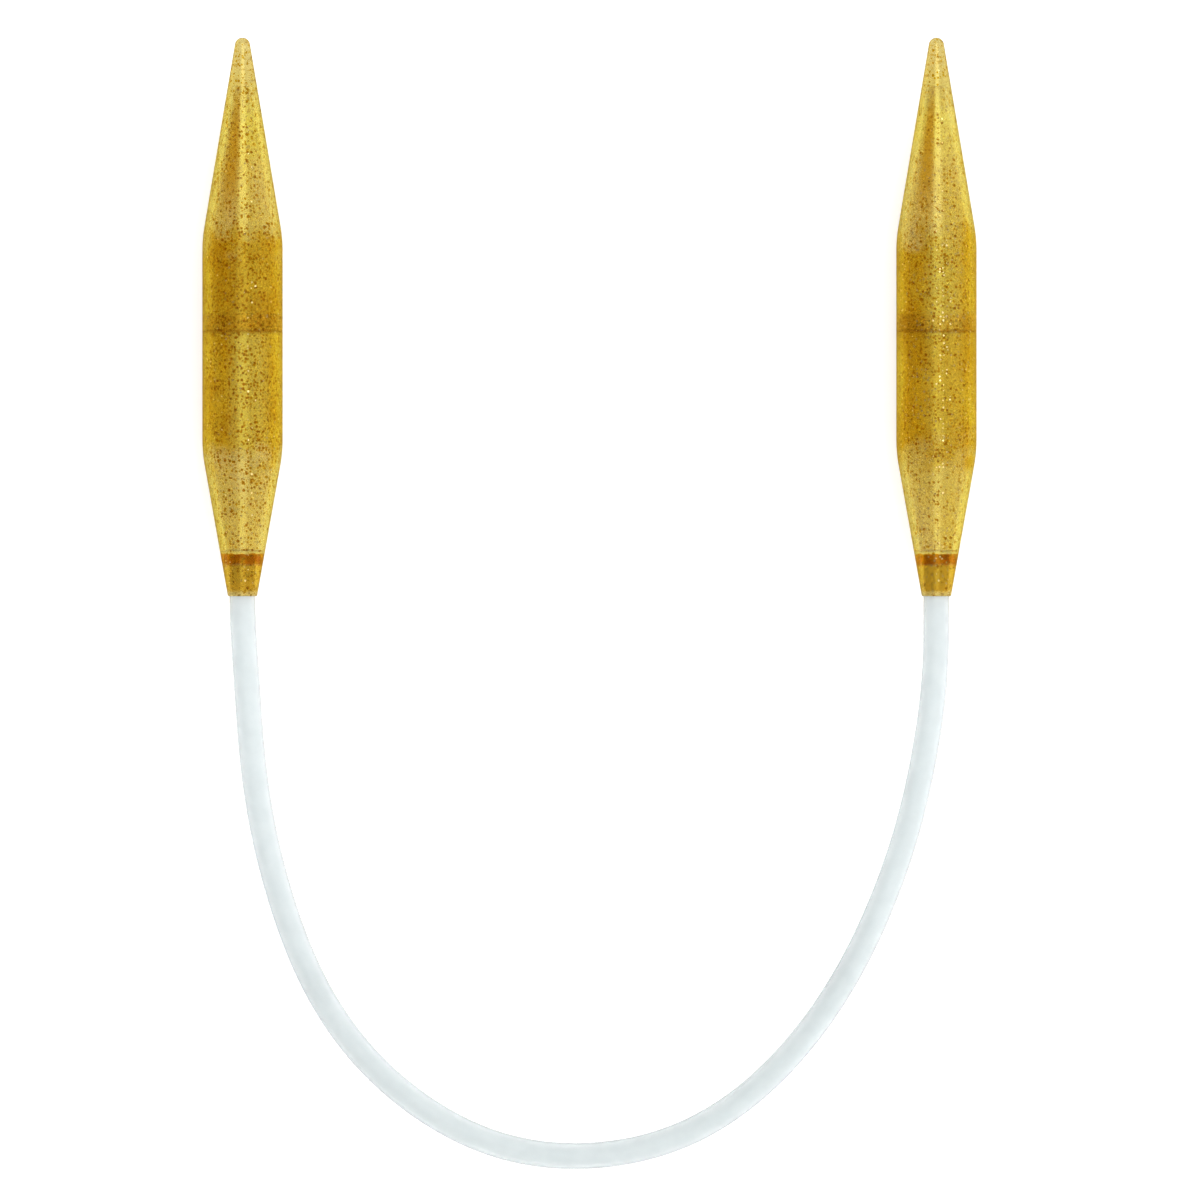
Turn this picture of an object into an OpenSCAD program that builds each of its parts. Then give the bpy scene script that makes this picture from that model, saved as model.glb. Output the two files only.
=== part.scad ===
// Circular knitting needle: two hollow tips joined by a flexible tube.
// The needle lies flat on the XY plane with both tips along +Y and the cord's loop towards -Y.

/* [Tips] */
// Diameter of the barrel, which is the needle's knitting size
needle_d = 19; // [17:0.5:21]
// Length of one tip, from its tail face to its nose
tip_length = 132; // [126:1:138]
// Length of the taper behind the nose
front_taper = 47.5; // [40:0.5:55]
// Length of the taper ahead of the cord
rear_taper = 34; // [30:0.5:38]
// Radius of the round nose
nose_r = 1.8; // [1.4:0.1:2.6]
// Diameter of the face that the cord comes out of
tail_d = 6.9; // [6.9:0.1:8]
// Radius that softens each shoulder of the barrel
shoulder_r = 35; // [10:1:40]

/* [Shells] */
// Wall thickness of both shells
wall = 1.6; // [1.4:0.1:2]
// Length of solid plastic behind the nose
solid_nose = 11.5; // [11.5:0.5:16]
// Distance from the tail face to the seam between the shells
seam_y = 62.5; // [55:0.5:70]
// Length of the tongue that locates one shell in the other
tongue = 4; // [3:0.5:6]
// Thickness of the web between the socket and the hollow barrel
web = 0.8; // [0.6:0.1:2.4]
// Radial gap for glue round the tongue and round the cord
glue_gap = 0.05; // [0.03:0.01:0.08]

/* [Cord] */
// Outer diameter of the tube
cord_d = 6.1; // [5.8:0.1:6.1]
// Bore of the tube
cord_bore = 4.1; // [3.6:0.1:4.4]
// Depth of the socket that the tube is glued in
socket_depth = 10; // [9:0.5:11]
// Thickness of the plug's head, which closes the end of the tube
plug_head = 2.6; // [2:0.1:3]
// Length of the plug's shank, which stops the tube from collapsing
plug_shank = 4.6; // [4:0.1:5.4]

/* [Hidden] */

$fn = 96;

barrel_r = needle_d / 2;
tail_r = tail_d / 2;
cord_r = cord_d / 2;
bore_r = cord_bore / 2;
socket_r = cord_r + glue_gap;
inner_r = barrel_r - wall;
tongue_r = barrel_r - wall / 2;
tail_edge_r = 0.3;
arc_steps = 6;
shank_chamfer = 0.5;
rear_corner = [barrel_r, rear_taper];
front_corner = [barrel_r, tip_length - front_taper];
nose_centre = [0, tip_length - nose_r];

// Angle between the front cone and the axis, which makes the cone tangent to the round nose
front_reach = nose_centre[1] - front_corner[1];
front_angle = acos(nose_r / norm([barrel_r, front_reach])) - atan2(front_reach, barrel_r);
rear_angle = atan2(barrel_r - tail_r, rear_taper);

// Cavity of the barrel, parallel to the outside
inner_rear = [inner_r, rear_taper + wall * tan(rear_angle / 2)];
inner_front = [inner_r, front_corner[1] - wall * tan(front_angle / 2)];
floor_y = socket_depth + web;
floor_r = inner_r - (inner_rear[1] - floor_y) * tan(rear_angle);
cavity_top = tip_length - solid_nose;
cavity_top_r = inner_r - (cavity_top - inner_front[1]) * tan(front_angle);

// Route of the cord: points that its centre line is drawn towards, as x, y, and height as a
// share of the way from lying on the floor (0) to the axis of the tips (1)
route = [
  [-82, -66, 1], [-81, -85, 0.98], [-80, -103, 0.8], [-77.5, -121.5, 0.46],
  [-72.5, -140.5, 0.16], [-65.5, -158.5, 0.02], [-54.5, -175, 0], [-39, -188.5, 0],
  [-20.5, -197.5, 0], [0, -199.5, 0], [20, -195.5, 0], [36.5, -186, 0],
  [50.5, -172, 0], [61, -156.5, 0.02], [69, -140, 0.16], [75.5, -121.5, 0.46],
  [79.5, -103, 0.8], [82, -85, 0.98], [82, -66, 1]
];
last = len(route) - 1;
neck_end = 1;
loop_bottom = 9;
rings_per_span = 2;
cord_sides = 12;

// ---- outlines, as [radius, distance from the tail face] ----

function unit(v) = v / norm(v);

// Arc of radius r that rounds corner b between a and c
function rounded(a, b, c, r) =
  let (
    u = unit(a - b),
    v = unit(c - b),
    half = acos(u * v) / 2,
    centre = b + unit(u + v) * r / sin(half),
    from = b + u * r / tan(half) - centre,
    to = b + v * r / tan(half) - centre,
    start = atan2(from[1], from[0]),
    turn = (atan2(to[1], to[0]) - start + 540) % 360 - 180
  )
  [for (i = [0 : arc_steps])
    let (angle = start + turn * i / arc_steps)
    centre + r * [cos(angle), sin(angle)]];

// Round nose, from the front cone to the axis
function nose_arc() =
  [for (i = [0 : arc_steps])
    let (angle = front_angle + (90 - front_angle) * i / arc_steps)
    i == arc_steps ? [0, tip_length] : nose_centre + nose_r * [cos(angle), sin(angle)]];

// Outside of the point shell, from the seam to the nose
function point_outline() = concat(
  [[barrel_r, seam_y]],
  rounded([barrel_r, seam_y], front_corner, nose_arc()[0], shoulder_r),
  nose_arc()
);

// Outside of the tail shell, from the tail face to the seam
function tail_outline() = concat(
  rounded([0, 0], [tail_r, 0], rear_corner, tail_edge_r),
  rounded([tail_r, 0], rear_corner, [barrel_r, seam_y], shoulder_r),
  [[barrel_r, seam_y]]
);

// ---- one tip, standing on its tail face along +Z ----

module point_shell() {
  recess_r = tongue_r + glue_gap;
  recess_y = seam_y + tongue + glue_gap;
  color([0.80, 0.60, 0.22])
    rotate_extrude()
      polygon(concat(
        point_outline(),
        [[0, cavity_top], [cavity_top_r, cavity_top], inner_front],
        [[inner_r, recess_y], [recess_r, recess_y], [recess_r, seam_y]]
      ));
}

module tail_shell() {
  color([0.84, 0.66, 0.30])
    rotate_extrude()
      polygon(concat(
        [[socket_r, 0]],
        tail_outline(),
        [[tongue_r, seam_y], [tongue_r, seam_y + tongue], [inner_r, seam_y + tongue]],
        [inner_rear, [floor_r, floor_y], [0, floor_y]],
        [[0, socket_depth], [socket_r, socket_depth]]
      ));
}

module cord_plug() {
  shoulder_y = socket_depth - plug_head;
  shank_y = shoulder_y - plug_shank;
  color([0.45, 0.27, 0.08])
    rotate_extrude()
      polygon([
        [0, shank_y], [bore_r - shank_chamfer, shank_y], [bore_r, shank_y + shank_chamfer],
        [bore_r, shoulder_y], [cord_r, shoulder_y], [cord_r, socket_depth], [0, socket_depth]
      ]);
}

module cord_end() {
  color([0.88, 0.92, 0.93])
    rotate_extrude()
      translate([bore_r, 0])
        square([cord_r - bore_r, socket_depth - plug_head]);
}

// Lays a tip down on its barrel with its tail face at a route point
module on_axis(at) {
  translate([route[at][0], route[at][1], barrel_r])
    rotate([-90, 0, 0])
      children();
}

// ---- the cord between the tips ----

function point(i) = [route[i][0], route[i][1], cord_r + route[i][2] * (barrel_r - cord_r)];

// Two control points at each end make the cord leave the tip on the tip's own axis
function straight(exit, next) = [0, exit[1] - next[1], 0];

function control(i) =
  i < 0 ? point(1) + 2 * straight(point(0), point(1))
  : i == 0 ? (3 * point(0) - point(1) - straight(point(0), point(1))) / 2
  : i == last ? (3 * point(last) - point(last - 1) - straight(point(last), point(last - 1))) / 2
  : i > last ? point(last - 1) + 2 * straight(point(last), point(last - 1))
  : point(i);

// Centre line of the cord at t spans from the start: a uniform cubic B-spline
function along(t) =
  let (
    i = min(floor(t), last - 1),
    u = t - i
  )
  ((1 - u) ^ 3 * control(i - 1) + (3 * u ^ 3 - 6 * u ^ 2 + 4) * control(i)
    + (1 + 3 * u + 3 * u ^ 2 - 3 * u ^ 3) * control(i + 1) + u ^ 3 * control(i + 2)) / 6;

function heading(t) = unit(along(min(t + 0.02, last)) - along(max(t - 0.02, 0)));

// At the two ends the ring is square to the tip's axis
function ring_heading(t) = t == 0 ? [0, -1, 0] : t == last ? [0, 1, 0] : heading(t);

function ring(t) =
  let (
    ahead = ring_heading(t),
    side = unit(cross(ahead, [0, 0, 1])),
    up = cross(side, ahead)
  )
  [for (k = [0 : cord_sides - 1])
    let (angle = 360 * k / cord_sides)
    along(t) + cord_r * (sin(angle) * side - cos(angle) * up)];

// Solid tube from one route point to another
module cord(from, to) {
  rings = (to - from) * rings_per_span;
  n = cord_sides;
  points = [for (j = [0 : rings]) each ring(from + j / rings_per_span)];
  sides = [for (j = [0 : rings - 1], k = [0 : n - 1])
    let (a = j * n + k, b = j * n + (k + 1) % n)
    each [[a, a + n, b], [b, a + n, b + n]]];
  start = [for (k = [0 : n - 1]) k];
  end = [for (k = [n - 1 : -1 : 0]) rings * n + k];
  color([0.88, 0.92, 0.93])
    polyhedron(points, concat([start], sides, [end]));
}

// ---- sub-parts ----

module left_point_shell() { on_axis(0) point_shell(); }
module left_tail_shell() { on_axis(0) tail_shell(); }
module left_cord_plug() { on_axis(0) cord_plug(); }
module left_cord_end() { on_axis(0) cord_end(); }
module left_cord_neck() { cord(0, neck_end); }
module left_cord_run() { cord(neck_end, loop_bottom); }
module right_cord_run() { cord(loop_bottom, last - neck_end); }
module right_cord_neck() { cord(last - neck_end, last); }
module right_cord_end() { on_axis(last) cord_end(); }
module right_cord_plug() { on_axis(last) cord_plug(); }
module right_tail_shell() { on_axis(last) tail_shell(); }
module right_point_shell() { on_axis(last) point_shell(); }

left_point_shell();
left_tail_shell();
left_cord_plug();
left_cord_end();
left_cord_neck();
left_cord_run();
right_cord_run();
right_cord_neck();
right_cord_end();
right_cord_plug();
right_tail_shell();
right_point_shell();
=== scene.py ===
"""Circular knitting needle: two hollow translucent tips, joined by one flexible tube.

Everything is in metres in the CAD model's own frame: both tips lie along +Y on the floor, z = 0,
and the cord's loop lies towards -Y.
"""

import math

import bmesh
import bpy
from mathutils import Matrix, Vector


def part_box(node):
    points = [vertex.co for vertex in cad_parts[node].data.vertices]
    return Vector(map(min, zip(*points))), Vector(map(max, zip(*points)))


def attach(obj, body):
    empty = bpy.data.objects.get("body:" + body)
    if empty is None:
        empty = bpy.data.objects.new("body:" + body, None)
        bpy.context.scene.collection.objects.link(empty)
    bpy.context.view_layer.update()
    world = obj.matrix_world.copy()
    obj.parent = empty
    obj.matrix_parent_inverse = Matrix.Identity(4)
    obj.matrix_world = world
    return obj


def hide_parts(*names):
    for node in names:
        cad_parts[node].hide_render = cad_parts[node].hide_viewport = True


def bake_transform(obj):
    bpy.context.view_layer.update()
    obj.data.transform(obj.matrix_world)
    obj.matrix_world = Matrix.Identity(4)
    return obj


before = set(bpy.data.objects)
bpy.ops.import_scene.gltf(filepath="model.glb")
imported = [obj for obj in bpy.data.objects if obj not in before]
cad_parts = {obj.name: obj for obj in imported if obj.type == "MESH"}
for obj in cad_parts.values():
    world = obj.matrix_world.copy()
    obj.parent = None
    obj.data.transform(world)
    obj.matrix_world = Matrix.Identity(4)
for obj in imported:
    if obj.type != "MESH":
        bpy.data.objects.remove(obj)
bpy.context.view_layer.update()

MM = 0.001
SIDES = ("left", "right")

# ---- sizes repeated from the CAD source, in metres ----

FRONT_TAPER = 47.5 * MM
REAR_TAPER = 34 * MM
NOSE_RADIUS = 1.8 * MM
TAIL_RADIUS = 3.45 * MM
SHOULDER_RADIUS = 35 * MM
WALL = 1.6 * MM
SOLID_NOSE = 11.5 * MM
WEB = 0.8 * MM
GLUE_GAP = 0.05 * MM
CORD_DIAMETER = 6.1 * MM
CORD_BORE = 4.1 * MM
PLUG_HEAD = 2.6 * MM

# The cord's route as [x, y, share of the way from the floor up to the tips' axis], in millimetres
ROUTE = [
    [-82, -66, 1], [-81, -85, 0.98], [-80, -103, 0.8], [-77.5, -121.5, 0.46],
    [-72.5, -140.5, 0.16], [-65.5, -158.5, 0.02], [-54.5, -175, 0], [-39, -188.5, 0],
    [-20.5, -197.5, 0], [0, -199.5, 0], [20, -195.5, 0], [36.5, -186, 0],
    [50.5, -172, 0], [61, -156.5, 0.02], [69, -140, 0.16], [75.5, -121.5, 0.46],
    [79.5, -103, 0.8], [82, -85, 0.98], [82, -66, 1],
]
LAST = len(ROUTE) - 1

# Where the three visible stretches of the cord meet, in spans of the route
LOOP_START = 5
LOOP_END = LAST - LOOP_START

# ---- finer detail that only the looks have ----

TAIL_EDGE = 0.3 * MM
SEAM_CHAMFER = 0.06 * MM
INNER_FILLET = 0.8 * MM
FLOOR_FILLET = 0.5 * MM
PLUG_EDGE = 0.25 * MM
TURN_STEPS = 144
ARC_STEPS = 10
CORD_SIDES = 40
RINGS_PER_SPAN = 14
SOCKET_RINGS = 8
SHARP_ANGLE = math.radians(32)

# ---- colours, as linear RGB ----

CONE_COLOURS = (0.97, 0.90, 0.23, 1), (1.0, 0.95, 0.37, 1)
# Painted shade: the barrel's colours are darker than the cones', for the shade under the barrel
SHADED_BARREL_COLOURS = (0.86, 0.62, 0.025, 1), (0.94, 0.78, 0.06, 1)
CLOUD_COLOUR = (0.78, 0.53, 0.018, 1)
# Painted highlight on the middle of the barrel
BARREL_HIGHLIGHT_COLOUR = (0.98, 0.91, 0.17, 1)
# Painted shade on the left flank of the front cone
LEFT_FLANK_SHADE_COLOUR = (0.78, 0.50, 0.012, 1)
INNER_WALL_SHADE_COLOUR = (0.80, 0.555, 0.013, 1)
NOSE_COLOUR = (0.78, 0.68, 0.31, 1)
SOCKET_COLOUR = (0.91, 0.65, 0.06, 1)
TAIL_RIM_HIGHLIGHT_COLOUR = (0.97, 0.90, 0.45, 1)
PLUG_SHADE_COLOURS = (0.52, 0.16, 0.002, 1), (0.88, 0.37, 0.003, 1)
TONGUE_COLOUR = (0.88, 0.42, 0.008, 1)
SEAM_GLUE_COLOUR = (0.50, 0.20, 0.008, 1)
GRAIN_COLOUR = (0.52, 0.22, 0.004, 1)
SPECK_COLOUR = (0.55, 0.30, 0.0002, 1)
COARSE_SPECK_COLOUR = (0.42, 0.18, 0.0001, 1)
GLITTER_COLOUR = (1.0, 0.86, 0.40, 1)
GLOSS_TINT = (1.0, 0.95, 0.18, 1)
AMBER_DEPTH_COLOUR = (0.88, 0.77, 0.04, 1)
PLUG_COLOURS = (0.24, 0.09, 0.003, 1), (0.38, 0.16, 0.006, 1)
TUBE_COLOURS = (0.835, 0.88, 0.885, 1), (0.875, 0.915, 0.92, 1)
TUBE_GLUE_COLOURS = (0.94, 0.84, 0.45, 1), (0.76, 0.45, 0.03, 1)
FLOOR_COLOUR = (0.82, 0.82, 0.82, 1)
MIRRORED_FLOOR_AND_GLOW_COLOURS = (0.42, 0.42, 0.42, 1), (0.38, 0.30, 0.08, 1)


# ---- camera ----

def make_camera():
    """Looks straight down on the middle of the needle's length, as wide as the photograph."""
    view_width = 283.6 * MM
    centre = Vector((2.5 * MM, -66.9 * MM, 9.5 * MM))
    data = bpy.data.cameras.new("camera")
    data.lens = 400
    data.sensor_width = 36
    distance = view_width * data.lens / data.sensor_width
    data.clip_start = 0.05
    data.clip_end = 50
    camera = bpy.data.objects.new("camera", data)
    camera.location = centre + Vector((0, 0, distance))
    bpy.context.scene.collection.objects.link(camera)
    bpy.context.scene.camera = camera


# ---- mesh helpers ----

def finish_mesh(name, bm):
    """Turns a bmesh into a smooth object that keeps its crisp edges."""
    bmesh.ops.recalc_face_normals(bm, faces=bm.faces)
    for face in bm.faces:
        face.smooth = True
    for edge in bm.edges:
        edge.smooth = len(edge.link_faces) == 2 and edge.calc_face_angle() < SHARP_ANGLE
    mesh = bpy.data.meshes.new(name)
    bm.to_mesh(mesh)
    bm.free()
    piece = bpy.data.objects.new(name, mesh)
    bpy.context.scene.collection.objects.link(piece)
    return piece


def rounded(before, corner, after, radius, steps=ARC_STEPS):
    """Points of the arc that rounds a corner of an outline."""
    u = (before - corner).normalized()
    v = (after - corner).normalized()
    half = u.angle(v) / 2
    centre = corner + (u + v).normalized() * radius / math.sin(half)
    first = corner + u * radius / math.tan(half) - centre
    last = corner + v * radius / math.tan(half) - centre
    start = math.atan2(first.y, first.x)
    turn = (math.atan2(last.y, last.x) - start + 3 * math.pi) % math.tau - math.pi
    angles = [start + turn * i / steps for i in range(steps + 1)]
    return [centre + radius * Vector((math.cos(a), math.sin(a))) for a in angles]


def lathe(name, outline, axis):
    """Turns a closed outline of (radius, height) about a tip's axis, height along +Y."""
    bm = bmesh.new()
    rings = []
    for radius, height in outline:
        if radius < 1e-9:
            rings.append([bm.verts.new(axis + Vector((0, height, 0)))])
            continue
        angles = [math.tau * i / TURN_STEPS for i in range(TURN_STEPS)]
        rings.append([
            bm.verts.new(axis + Vector((radius * math.cos(a), height, radius * math.sin(a))))
            for a in angles
        ])
    for low, high in zip(rings, rings[1:] + rings[:1]):
        for i in range(TURN_STEPS):
            j = (i + 1) % TURN_STEPS
            near, far = [low[k % len(low)] for k in (i, j)], [high[k % len(high)] for k in (j, i)]
            corners = list(dict.fromkeys(near + far))
            if len(corners) > 2:
                bm.faces.new(corners)
    return finish_mesh(name, bm)


# ---- one tip ----

class Tip:
    """Sizes of one tip, read from the frame. Heights are measured from its tail face."""

    def __init__(self, side):
        tail_low, tail_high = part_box(side + "_tail_shell")
        point_low, point_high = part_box(side + "_point_shell")
        plug_low, plug_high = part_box(side + "_cord_plug")
        self.barrel = (tail_high.x - tail_low.x) / 2
        self.axis = Vector(((tail_low.x + tail_high.x) / 2, tail_low.y, tail_low.z + self.barrel))
        self.length = point_high.y - tail_low.y
        self.seam = point_low.y - tail_low.y
        self.tongue_end = tail_high.y - tail_low.y
        self.socket = plug_high.y - tail_low.y
        self.shank_end = plug_low.y - tail_low.y
        self.inner = self.barrel - WALL
        self.tongue = self.barrel - WALL / 2
        nose_reach = FRONT_TAPER - NOSE_RADIUS
        self.front_angle = (
            math.acos(NOSE_RADIUS / math.hypot(self.barrel, nose_reach))
            - math.atan2(nose_reach, self.barrel)
        )
        self.rear_angle = math.atan2(self.barrel - TAIL_RADIUS, REAR_TAPER)

    def front_corner(self):
        return Vector((self.barrel, self.length - FRONT_TAPER))

    def rear_corner(self):
        return Vector((self.barrel, REAR_TAPER))

    def nose(self):
        """Round nose, from the front cone to the axis."""
        centre = Vector((0, self.length - NOSE_RADIUS))
        steps = 2 * ARC_STEPS
        points = []
        for i in range(steps + 1):
            angle = self.front_angle + (math.pi / 2 - self.front_angle) * i / steps
            points.append(centre + NOSE_RADIUS * Vector((math.cos(angle), math.sin(angle))))
        points[-1].x = 0
        return points


def make_point_shell(side, tip):
    """Front half of a tip: round solid nose, hollow cone and half barrel with a recess."""
    recess = tip.tongue + GLUE_GAP
    recess_end = tip.tongue_end + GLUE_GAP
    cavity_end = tip.length - SOLID_NOSE
    inner_front = tip.front_corner() - Vector((WALL, WALL * math.tan(tip.front_angle / 2)))
    cavity_radius = tip.inner - (cavity_end - inner_front.y) * math.tan(tip.front_angle)
    nose = tip.nose()
    cavity_corner = Vector((cavity_radius, cavity_end))
    outline = [
        Vector((tip.barrel - SEAM_CHAMFER, tip.seam)),
        Vector((tip.barrel, tip.seam + SEAM_CHAMFER)),
        *rounded(Vector((tip.barrel, tip.seam)), tip.front_corner(), nose[0], SHOULDER_RADIUS),
        *nose,
        Vector((0, cavity_end)),
        *rounded(Vector((0, cavity_end)), cavity_corner, inner_front, INNER_FILLET),
        *rounded(cavity_corner, inner_front, Vector((tip.inner, recess_end)), SHOULDER_RADIUS),
        Vector((tip.inner, recess_end)),
        Vector((recess, recess_end)),
        Vector((recess, tip.seam)),
    ]
    piece = lathe(side + "_point", outline, tip.axis)
    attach(piece, side + "_tip")
    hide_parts(side + "_point_shell")
    return piece


def make_tail_shell(side, tip):
    """Rear half of a tip: tongue, half barrel, cone, web and the cord's socket."""
    socket_radius = CORD_DIAMETER / 2 + GLUE_GAP
    floor = tip.socket + WEB
    inner_rear = Vector((tip.inner, REAR_TAPER + WALL * math.tan(tip.rear_angle / 2)))
    floor_radius = tip.inner - (inner_rear.y - floor) * math.tan(tip.rear_angle)
    floor_corner = Vector((floor_radius, floor))
    tail_corner = Vector((TAIL_RADIUS, 0))
    outline = [
        Vector((socket_radius, 0)),
        *rounded(Vector((0, 0)), tail_corner, tip.rear_corner(), TAIL_EDGE),
        *rounded(tail_corner, tip.rear_corner(), Vector((tip.barrel, tip.seam)), SHOULDER_RADIUS),
        Vector((tip.barrel, tip.seam - SEAM_CHAMFER)),
        Vector((tip.barrel - SEAM_CHAMFER, tip.seam)),
        Vector((tip.tongue, tip.seam)),
        Vector((tip.tongue, tip.tongue_end)),
        Vector((tip.inner, tip.tongue_end)),
        *rounded(Vector((tip.inner, tip.seam)), inner_rear, floor_corner, SHOULDER_RADIUS),
        *rounded(inner_rear, floor_corner, Vector((0, floor)), FLOOR_FILLET),
        Vector((0, floor)),
        Vector((0, tip.socket)),
        Vector((socket_radius, tip.socket)),
    ]
    piece = lathe(side + "_tail", outline, tip.axis)
    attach(piece, side + "_tip")
    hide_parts(side + "_tail_shell")
    return piece


def make_plug(side, tip):
    """Plug in the end of the cord: a head as wide as the tube and a shank in its bore."""
    head = CORD_DIAMETER / 2
    shank = CORD_BORE / 2
    shoulder = tip.socket - PLUG_HEAD
    bottom = Vector((0, tip.shank_end))
    shank_corner = Vector((shank, tip.shank_end))
    inside_corner = Vector((shank, shoulder))
    low_corner = Vector((head, shoulder))
    high_corner = Vector((head, tip.socket))
    top = Vector((0, tip.socket))
    outline = [
        bottom,
        *rounded(bottom, shank_corner, inside_corner, 2 * PLUG_EDGE),
        inside_corner,
        *rounded(inside_corner, low_corner, high_corner, PLUG_EDGE / 2),
        *rounded(low_corner, high_corner, top, PLUG_EDGE),
        top,
    ]
    piece = lathe(side + "_plug", outline, tip.axis)
    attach(piece, side + "_tip")
    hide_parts(side + "_cord_plug")
    return piece


# ---- the cord ----

def route_point(i, tips):
    """A point of the route, in metres."""
    x, y, lift = ROUTE[i]
    low = CORD_DIAMETER / 2
    high = tips["left"].axis.z
    return Vector((x * MM, y * MM, low + lift * (high - low)))


def control_points(tips):
    """The route with two control points at each end that keep its ends on the tips' axes."""
    points = [route_point(i, tips) for i in range(LAST + 1)]

    def ends(exit_point, following):
        step = Vector((0, exit_point.y - following.y, 0))
        return following + 2 * step, (3 * exit_point - following - step) / 2

    before, first = ends(points[0], points[1])
    after, last = ends(points[-1], points[-2])
    return [before, first, *points[1:-1], last, after]


def cord_centre(t, controls):
    """Centre line of the cord at t spans from the left tip: a uniform cubic B-spline."""
    i = min(int(t), LAST - 1)
    u = t - i
    a, b, c, d = controls[i:i + 4]
    return (
        (1 - u) ** 3 * a + (3 * u ** 3 - 6 * u ** 2 + 4) * b
        + (1 + 3 * u + 3 * u ** 2 - 3 * u ** 3) * c + u ** 3 * d
    ) / 6


def cord_rings(start, end, controls):
    """Centre and heading at each ring of a stretch of cord."""
    count = round((end - start) * RINGS_PER_SPAN)
    rings = []
    for i in range(count + 1):
        t = start + (end - start) * i / count
        ahead = cord_centre(min(t + 0.01, LAST), controls) - cord_centre(max(t - 0.01, 0), controls)
        if t in (0, LAST):
            ahead = Vector((0, t - LAST / 2, 0))
        rings.append((cord_centre(t, controls), ahead.normalized()))
    return rings


def ring_of(bm, centre, ahead, radius):
    """One ring of the tube, square to its centre line."""
    side = ahead.cross(Vector((0, 0, 1))).normalized()
    up = side.cross(ahead)
    angles = [math.tau * k / CORD_SIDES for k in range(CORD_SIDES)]
    return [
        bm.verts.new(centre + radius * (math.sin(a) * side - math.cos(a) * up)) for a in angles
    ]


def tube(name, rings, tail_y):
    """Closed hollow tube through the rings: its outside, its bore and a flat ring at each end.

    Each vertex keeps how far it is inside the socket, which places the glue.
    """
    bm = bmesh.new()
    outside = [ring_of(bm, *ring, CORD_DIAMETER / 2) for ring in rings]
    bore = [ring_of(bm, *ring, CORD_BORE / 2) for ring in rings]
    loops = outside + bore[::-1]
    for near, far in zip(loops, loops[1:] + loops[:1]):
        for k in range(CORD_SIDES):
            j = (k + 1) % CORD_SIDES
            bm.faces.new([near[k], near[j], far[j], far[k]])
    piece = finish_mesh(name, bm)
    depth = piece.data.attributes.new("socket_depth", "FLOAT", "POINT")
    depth.data.foreach_set("value", [(v.co.y - tail_y) / MM for v in piece.data.vertices])
    return piece


def make_cord(tips):
    """The one tube, as three pieces that meet where the cord is straightest."""
    controls = control_points(tips)
    stretches = {
        "cord_left": cord_rings(0, LOOP_START, controls),
        "cord_loop": cord_rings(LOOP_START, LOOP_END, controls),
        "cord_right": cord_rings(LOOP_END, LAST, controls),
    }
    left_tip, right_tip = tips["left"], tips["right"]
    depth = left_tip.socket - PLUG_HEAD
    inside = [Vector((0, depth * (1 - i / SOCKET_RINGS), 0)) for i in range(SOCKET_RINGS)]
    stretches["cord_left"][:0] = [(left_tip.axis + step, Vector((0, -1, 0))) for step in inside]
    stretches["cord_right"] += [(right_tip.axis + step, Vector((0, 1, 0))) for step in inside[::-1]]

    pieces = {}
    for name, rings in stretches.items():
        piece = tube(name, rings, left_tip.axis.y)
        path = [centre for centre, _ in rings]
        if name == "cord_right":
            path.reverse()
        pieces[name] = piece

    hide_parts("left_cord_end", "left_cord_neck", "left_cord_run")
    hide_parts("left_cord_run", "right_cord_run")
    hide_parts("right_cord_end", "right_cord_neck", "right_cord_run")
    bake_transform(pieces["cord_left"])
    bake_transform(pieces["cord_right"])
    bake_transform(pieces["cord_loop"])
    return pieces


# ---- materials ----

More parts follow.
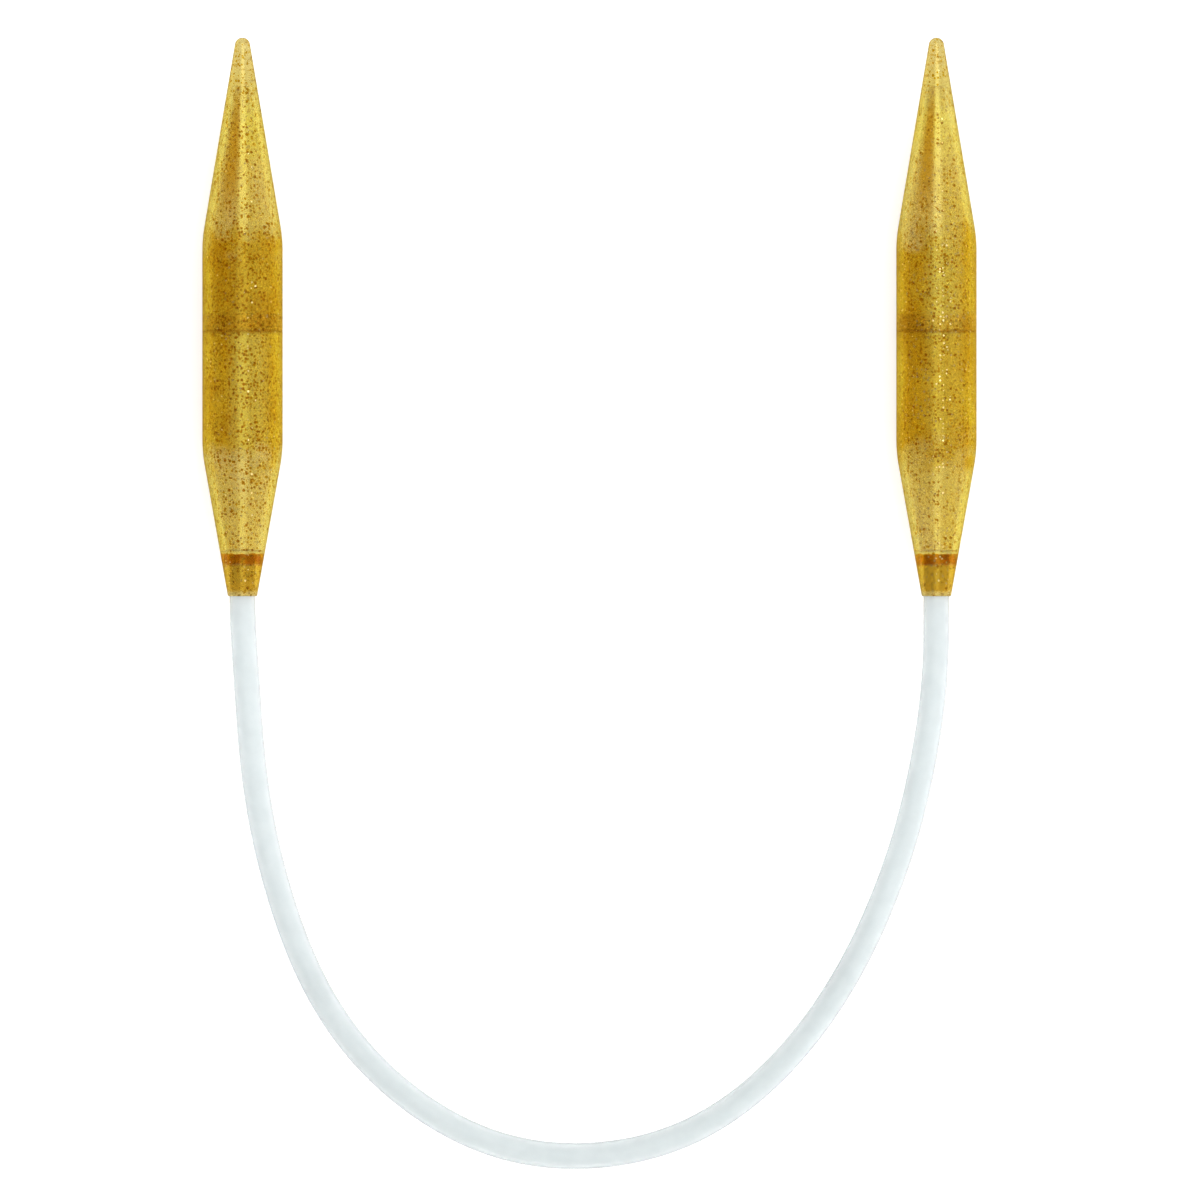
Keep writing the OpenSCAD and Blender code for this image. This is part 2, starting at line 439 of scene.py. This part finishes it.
class Nodes:
    """Short way to write a material's or the world's node tree."""

    def __init__(self, owner):
        owner.use_nodes = True
        self.owner = owner
        self.tree = owner.node_tree

    def named(self, name):
        return self.tree.nodes[name]

    def add(self, kind, settings=None, **inputs):
        """Adds a node. A tuple (node, output) is linked, and anything else is a value."""
        made = self.tree.nodes.new(kind)
        for key, value in (settings or {}).items():
            setattr(made, key, value)
        self.set(made, **inputs)
        return made

    def set(self, node, **inputs):
        for key, value in inputs.items():
            self.feed(node, key.replace("_", " "), value)

    def feed(self, node, key, value):
        socket = node.inputs[int(key)] if key.isdigit() else node.inputs[key]
        if isinstance(value, tuple) and isinstance(value[0], bpy.types.Node):
            self.tree.links.new(value[0].outputs[value[1]], socket)
        else:
            socket.default_value = value

    def math(self, operation, a, b=0.0):
        made = self.tree.nodes.new("ShaderNodeMath")
        made.operation = operation
        self.feed(made, "0", a)
        self.feed(made, "1", b)
        return made, "Value"

    def product(self, a, b):
        return self.math("MULTIPLY", a, b)

    def vector(self, operation, a, b=None, **inputs):
        made = self.add("ShaderNodeVectorMath", {"operation": operation}, **inputs)
        self.feed(made, "0", a)
        if b is not None:
            self.feed(made, "1", b)
        return made, "Vector"

    def ramp(self, value, low, high, start=0.0, end=1.0):
        """Smooth step of value from low to high, as start to end."""
        made = self.add(
            "ShaderNodeMapRange", {"interpolation_type": "SMOOTHSTEP"},
            Value=value, From_Min=low, From_Max=high, To_Min=start, To_Max=end,
        )
        return made, "Result"

    def mix(self, factor, a, b):
        made = self.tree.nodes.new("ShaderNodeMix")
        made.data_type = "RGBA"
        self.feed(made, "0", factor)
        self.feed(made, "6", a)
        self.feed(made, "7", b)
        return made, 2

    def axes(self, space="Object"):
        """X, Y and Z of a place on the piece, or with Generated of a direction in the world."""
        return self.add("ShaderNodeSeparateXYZ", Vector=(self.add("ShaderNodeTexCoord"), space))

    def point(self, scale=(1, 1, 1)):
        """Place on the piece, stretched by scale."""
        where = self.add("ShaderNodeTexCoord")
        made = self.add("ShaderNodeMapping", Vector=(where, "Object"), Scale=scale)
        return made, "Vector"

    def noise(self, scale, detail=2.0, stretch=(1, 1, 1)):
        made = self.add(
            "ShaderNodeTexNoise", Vector=self.point(stretch), Scale=scale, Detail=detail,
        )
        return made, "Fac"

    def band(self, value, low, high, soft):
        """One between low and high and nought outside, with soft edges."""
        rise = self.ramp(value, low - soft, low + soft)
        return self.product(rise, self.ramp(value, high + soft, high - soft))

    def cells(self, scale):
        """Cells with scale of them in a metre."""
        return self.add("ShaderNodeTexVoronoi", Vector=self.point(), Scale=scale)

    def flecks(self, cells, share, smallest, largest, soft):
        """Round flecks in a share of the cells. The sizes are radii in cells."""
        pick = self.add("ShaderNodeSeparateColor", Color=(cells, "Color"))
        size = self.add(
            "ShaderNodeMapRange", Value=(pick, "Green"), To_Min=smallest, To_Max=largest,
        )
        inside = self.ramp(self.math("SUBTRACT", (size, "Result"), (cells, "Distance")), 0.0, soft)
        return self.product(inside, self.math("LESS_THAN", (pick, "Red"), share))


def mirror_ray(n):
    """One for a ray that a glossy surface reflects, and nought for every other ray."""
    ray = n.add("ShaderNodeLightPath")
    through = n.math("SUBTRACT", 1.0, (ray, "Is Transmission Ray"))
    return n.product((ray, "Is Glossy Ray"), through)


def new_material(name):
    return Nodes(bpy.data.materials.new(name))


def along_tip(n, tip):
    """Distance from a tip's tail face, in millimetres."""
    return n.math("DIVIDE", n.math("SUBTRACT", (n.axes(), "Y"), tip.axis.y), MM)


def place_on_tip(n, tip, height):
    """How deep inside a tip's surface a place is, in millimetres, and how far across, in radii."""
    part = n.axes()
    across = n.math("DIVIDE", n.math("SUBTRACT", (part, "X"), tip.axis.x), MM)
    up = n.math("DIVIDE", n.math("SUBTRACT", (part, "Z"), tip.axis.z), MM)
    square = n.math("ADD", n.product(across, across), n.product(up, up))
    radius = n.math("SQRT", square)
    rear = n.math("ADD", n.product(height, math.tan(tip.rear_angle)), TAIL_RADIUS / MM)
    front = n.product(n.math("SUBTRACT", tip.length / MM, height), tip.barrel / FRONT_TAPER)
    outside = n.math("MINIMUM", n.math("MINIMUM", rear, front), tip.barrel / MM)
    return n.math("SUBTRACT", outside, radius), n.math("DIVIDE", across, outside)


def amber_colour(n, tip, height, barrel_highlight_shares):
    """Amber, with painted shade that darkens the barrel, the inner wall and the plastic beside the
    plug, painted highlights on the barrel and the tail rim, and a brown glue line at the seam.

    Heights are in millimetres from the tail face. barrel_highlight_shares is how strong the painted
    highlight down the middle of the barrel is below and above the seam.
    """
    seam = tip.seam / MM
    tongue_end = tip.tongue_end / MM
    rear_end = REAR_TAPER / MM
    front_start = (tip.length - FRONT_TAPER) / MM
    nose_start = (tip.length - SOLID_NOSE) / MM
    socket_end = tip.socket / MM
    head_start = (tip.socket - PLUG_HEAD) / MM

    # Painted shade: the barrel is darker than the two cones, for the shade under it. It has clouds,
    # and a painted highlight in the middle
    streaks = n.ramp(n.noise(140, 3, (1, 0.22, 1)), 0.3, 0.7)
    clouds = n.ramp(n.noise(110, 3), 0.4, 0.7)
    cone = n.mix(streaks, *CONE_COLOURS)
    barrel = n.mix(clouds, n.mix(streaks, *SHADED_BARREL_COLOURS), CLOUD_COLOUR)
    depth, side = place_on_tip(n, tip, height)
    # Painted highlight: a pale stripe down the middle of the barrel, of its own strength below and
    # above the seam
    above_seam = n.ramp(height, seam - 2, seam + 1, *barrel_highlight_shares)
    barrel = n.mix(n.product(n.band(side, -0.25, 0.6, 0.2), above_seam), barrel, BARREL_HIGHLIGHT_COLOUR)
    uneven = n.math("ADD", height, n.ramp(n.noise(160, 2), 0.2, 0.8, -5, 5))
    colour = n.mix(n.band(uneven, rear_end - 1, front_start, 4), cone, barrel)

    # Painted shade: deeper amber down the left flank of the front cone, and on the inner wall,
    # where the hollow middle is darker than the margins
    along_cone = n.band(height, front_start + 8, tip.length / MM - 12, 8)
    left_flank_shade = n.product(n.band(side, -0.62, -0.16, 0.14), along_cone)
    colour = n.mix(n.product(left_flank_shade, 0.8), colour, LEFT_FLANK_SHADE_COLOUR)
    # Painted shade on the inner wall, stronger away from the nose
    hollow = n.ramp(height, nose_start, nose_start - 16, 0.2, 0.9)
    colour = n.mix(n.product(n.ramp(depth, 0.7, 1.2), hollow), colour, INNER_WALL_SHADE_COLOUR)
    colour = n.mix(n.ramp(height, nose_start - 12, nose_start + 8), colour, NOSE_COLOUR)

    # The tail end: round the tube, a painted highlight on its rim, and painted shade from the plug
    # on the plastic beside it
    around_tube = n.ramp(height, head_start + 0.2, head_start - 0.2)
    colour = n.mix(around_tube, colour, SOCKET_COLOUR)
    # Painted highlight round the tail's rim
    colour = n.mix(n.ramp(height, 1.6, 0.6, 0, 0.7), colour, TAIL_RIM_HIGHLIGHT_COLOUR)
    wavy = n.math("ADD", height, n.ramp(n.noise(500, 2), 0.2, 0.8, -0.3, 0.3))
    # Painted shade from the plug, mottled, with a wavy edge
    plug_shade = n.mix(n.ramp(n.noise(420, 2), 0.3, 0.7), *PLUG_SHADE_COLOURS)
    above_tube = n.ramp(wavy, head_start - 0.6, head_start + 0.4)
    plug_shade_mask = n.product(above_tube, n.ramp(wavy, socket_end + 0.2, socket_end - 0.2))
    colour = n.mix(plug_shade_mask, colour, plug_shade)

    # The seam: the tongue shows through the plastic, and the glue is a thin line
    tongue = n.product(n.band(height, seam, tongue_end, 0.8), 0.3)
    colour = n.mix(tongue, colour, TONGUE_COLOUR)
    glue = n.product(n.band(height, seam - 0.3, seam + 0.3, 0.4), 0.55)
    return n.mix(glue, colour, SEAM_GLUE_COLOUR)


def amber_plastic(side, tip, coarse_share, fine_share, glitter_share, barrel_highlight_shares):
    """Translucent amber plastic, full of brown specks and fine gold glitter."""
    n = new_material("amber_plastic_" + side)
    height = along_tip(n, tip)
    amber = amber_colour(n, tip, height, barrel_highlight_shares)

    # Specks are crowded in the barrel, most of all above the seam, and clumped
    seam = tip.seam / MM
    dense = n.band(height, REAR_TAPER / MM - 4, (tip.length - FRONT_TAPER) / MM + 2, 6)
    clumps = n.ramp(n.noise(170, 3), 0.3, 0.7, 0.55, 1.15)
    upper = n.ramp(height, seam - 8, seam + 8, 0.25, 0.45)
    crowd = n.product(n.math("ADD", n.product(dense, upper), 0.55), clumps)
    few = n.product(crowd, coarse_share)
    coarse = n.flecks(n.cells(1000), few, 0.22, 0.44, 0.10)
    medium = n.flecks(n.cells(1400), few, 0.30, 0.54, 0.14)
    fine = n.flecks(n.cells(2300), n.product(crowd, fine_share), 0.34, 0.60, 0.25)
    specks = n.math("MAXIMUM", medium, n.product(fine, 0.55))
    grain = n.product(n.ramp(n.noise(2600, 1), 0.5, 0.72), n.product(crowd, 0.4))
    flakes = n.cells(1130)
    glitter = n.flecks(flakes, glitter_share, 0.18, 0.34, 0.06)
    colour = n.mix(grain, amber, GRAIN_COLOUR)
    colour = n.mix(specks, colour, SPECK_COLOUR)
    colour = n.mix(coarse, colour, COARSE_SPECK_COLOUR)
    colour = n.mix(glitter, colour, GLITTER_COLOUR)

    # Each flake of glitter leans its own way
    wave = n.add("ShaderNodeBump", Strength=0.25, Distance=0.00004, Height=n.noise(500, 2))
    lean = n.vector("SUBTRACT", (flakes, "Color"), (0.5, 0.5, 0.5))
    tilt = n.vector("SCALE", lean, Scale=n.product(glitter, 0.5))
    facing = n.vector("NORMALIZE", n.vector("ADD", (wave, "Normal"), tilt))
    n.set(
        n.named("Principled BSDF"), Base_Color=colour, Normal=facing,
        Roughness=n.ramp(n.noise(300, 2), 0.2, 0.8, 0.16, 0.24), IOR=1.42,
        Metallic=n.math("MAXIMUM", 0.10, n.product(glitter, 0.5)),
        Transmission_Weight=0.8, Specular_Tint=GLOSS_TINT,
    )
    absorb = n.add("ShaderNodeVolumeAbsorption", Color=AMBER_DEPTH_COLOUR, Density=170)
    n.set(n.named("Material Output"), Volume=(absorb, "Volume"))
    return n.owner


def dark_plug():
    """Dark amber plastic of the plug."""
    n = new_material("dark_plug")
    mottle = n.ramp(n.noise(700, 3), 0.3, 0.7)
    n.set(
        n.named("Principled BSDF"),
        Base_Color=n.mix(mottle, *PLUG_COLOURS),
        Roughness=n.ramp(n.noise(900, 2), 0.2, 0.8, 0.25, 0.45),
    )
    return n.owner


def clear_tube():
    """Milky translucent tube with a faint cool tint, and brown glue where it is in a socket."""
    n = new_material("clear_tube")
    drawn = n.ramp(n.noise(260, 3, (1, 1, 0.6)), 0.3, 0.7)
    milky = n.mix(drawn, *TUBE_COLOURS)
    depth = (n.add("ShaderNodeAttribute", {"attribute_name": "socket_depth"}), "Fac")
    glued = n.ramp(depth, 0.0, 0.4)
    wavy = n.math("ADD", depth, n.ramp(n.noise(400, 2), 0.2, 0.8, -0.8, 0.8))
    glue = n.mix(n.ramp(wavy, 0.8, 2.4), *TUBE_GLUE_COLOURS)
    wave = n.add("ShaderNodeBump", Strength=0.15, Distance=0.00003, Height=n.noise(600, 2))
    n.set(
        n.named("Principled BSDF"), Normal=(wave, "Normal"), IOR=1.4, Transmission_Weight=0.62,
        Base_Color=n.mix(glued, milky, glue),
        Roughness=n.ramp(n.noise(420, 2), 0.2, 0.8, 0.16, 0.26),
    )
    return n.owner


# ---- floor and light ----

def make_floor():
    """Plain white floor, far larger than any view of it. Gloss mirrors it dimmer than it is, and
    with a painted amber glow where the tips lie.
    """
    half = 6.0
    mesh = bpy.data.meshes.new("floor")
    corners = [(-half, -half, 0), (half, -half, 0), (half, half, 0), (-half, half, 0)]
    mesh.from_pydata(corners, [], [(0, 1, 2, 3)])
    floor = bpy.data.objects.new("floor", mesh)
    bpy.context.scene.collection.objects.link(floor)
    n = new_material("floor")
    # Painted reflection: gloss sees an amber glow on the floor where the tips lie, which tints
    # their edges
    glow_beside_tips = n.ramp((n.axes(), "Y"), -0.075, -0.062)
    mirrored_with_glow = n.mix(glow_beside_tips, *MIRRORED_FLOOR_AND_GLOW_COLOURS)
    white = n.mix(mirror_ray(n), FLOOR_COLOUR, mirrored_with_glow)
    n.set(
        n.named("Principled BSDF"), Base_Color=white, Roughness=0.9, Specular_IOR_Level=0.0,
        Emission_Color=white, Emission_Strength=0.45,
    )
    mesh.materials.append(n.owner)


def make_light():
    """Even light from all round. What the gloss mirrors is a dim room with long soft lamps."""
    n = Nodes(bpy.data.worlds.new("world"))
    part = n.axes("Generated")
    across = n.math("ABSOLUTE", n.math("SUBTRACT", (part, "X"), 0.05))
    lamp = n.ramp(across, 0.36, 0.12)
    front = n.product(n.band((part, "Y"), 0.26, 0.5, 0.08), 2.5)
    middle = n.product(n.band((part, "Y"), -0.14, 0.3, 0.16), 1.4)
    rear = n.product(n.band((part, "Y"), -0.5, -0.25, 0.05), 1.6)
    strength = n.math("MAXIMUM", n.math("MAXIMUM", front, rear), middle)
    overhead = n.product(n.product(lamp, strength), n.ramp((part, "Z"), 0.2, 0.4))
    room = n.math("ADD", n.ramp((part, "X"), -0.3, 0.9, 0.05, 0.16), overhead)
    even = n.ramp((part, "X"), -1.0, 1.0, 0.98, 1.72)
    mirror = mirror_ray(n)
    other = n.product(n.math("SUBTRACT", 1.0, mirror), even)
    brightness = n.math("ADD", n.product(mirror, room), other)
    n.set(n.named("Background"), Strength=brightness, Color=(1, 1, 1, 1))
    bpy.context.scene.world = n.owner


def set_picture():
    """Plain colour handling, and enough bounces for light to pass through both tips."""
    scene = bpy.context.scene
    scene.view_settings.view_transform = "Standard"
    scene.view_settings.look = "None"
    scene.cycles.use_denoising = True
    scene.cycles.max_bounces = 24
    scene.cycles.transmission_bounces = 24
    scene.cycles.glossy_bounces = 12
    scene.cycles.diffuse_bounces = 6
    scene.cycles.sample_clamp_indirect = 8


make_camera()
tips = {side: Tip(side) for side in SIDES}
cord = make_cord(tips)
tube_material = clear_tube()
for piece in cord.values():
    piece.data.materials.append(tube_material)

plug_material = dark_plug()
amber = {
    "left": amber_plastic("left", tips["left"], 1.1, 0.4, 0.22, (0.85, 0.2)),
    "right": amber_plastic("right", tips["right"], 0.7, 0.9, 0.6, (0.5, 1.0)),
}
for side, tip in tips.items():
    make_point_shell(side, tip).data.materials.append(amber[side])
    make_tail_shell(side, tip).data.materials.append(amber[side])
    make_plug(side, tip).data.materials.append(plug_material)

make_floor()
make_light()
set_picture()
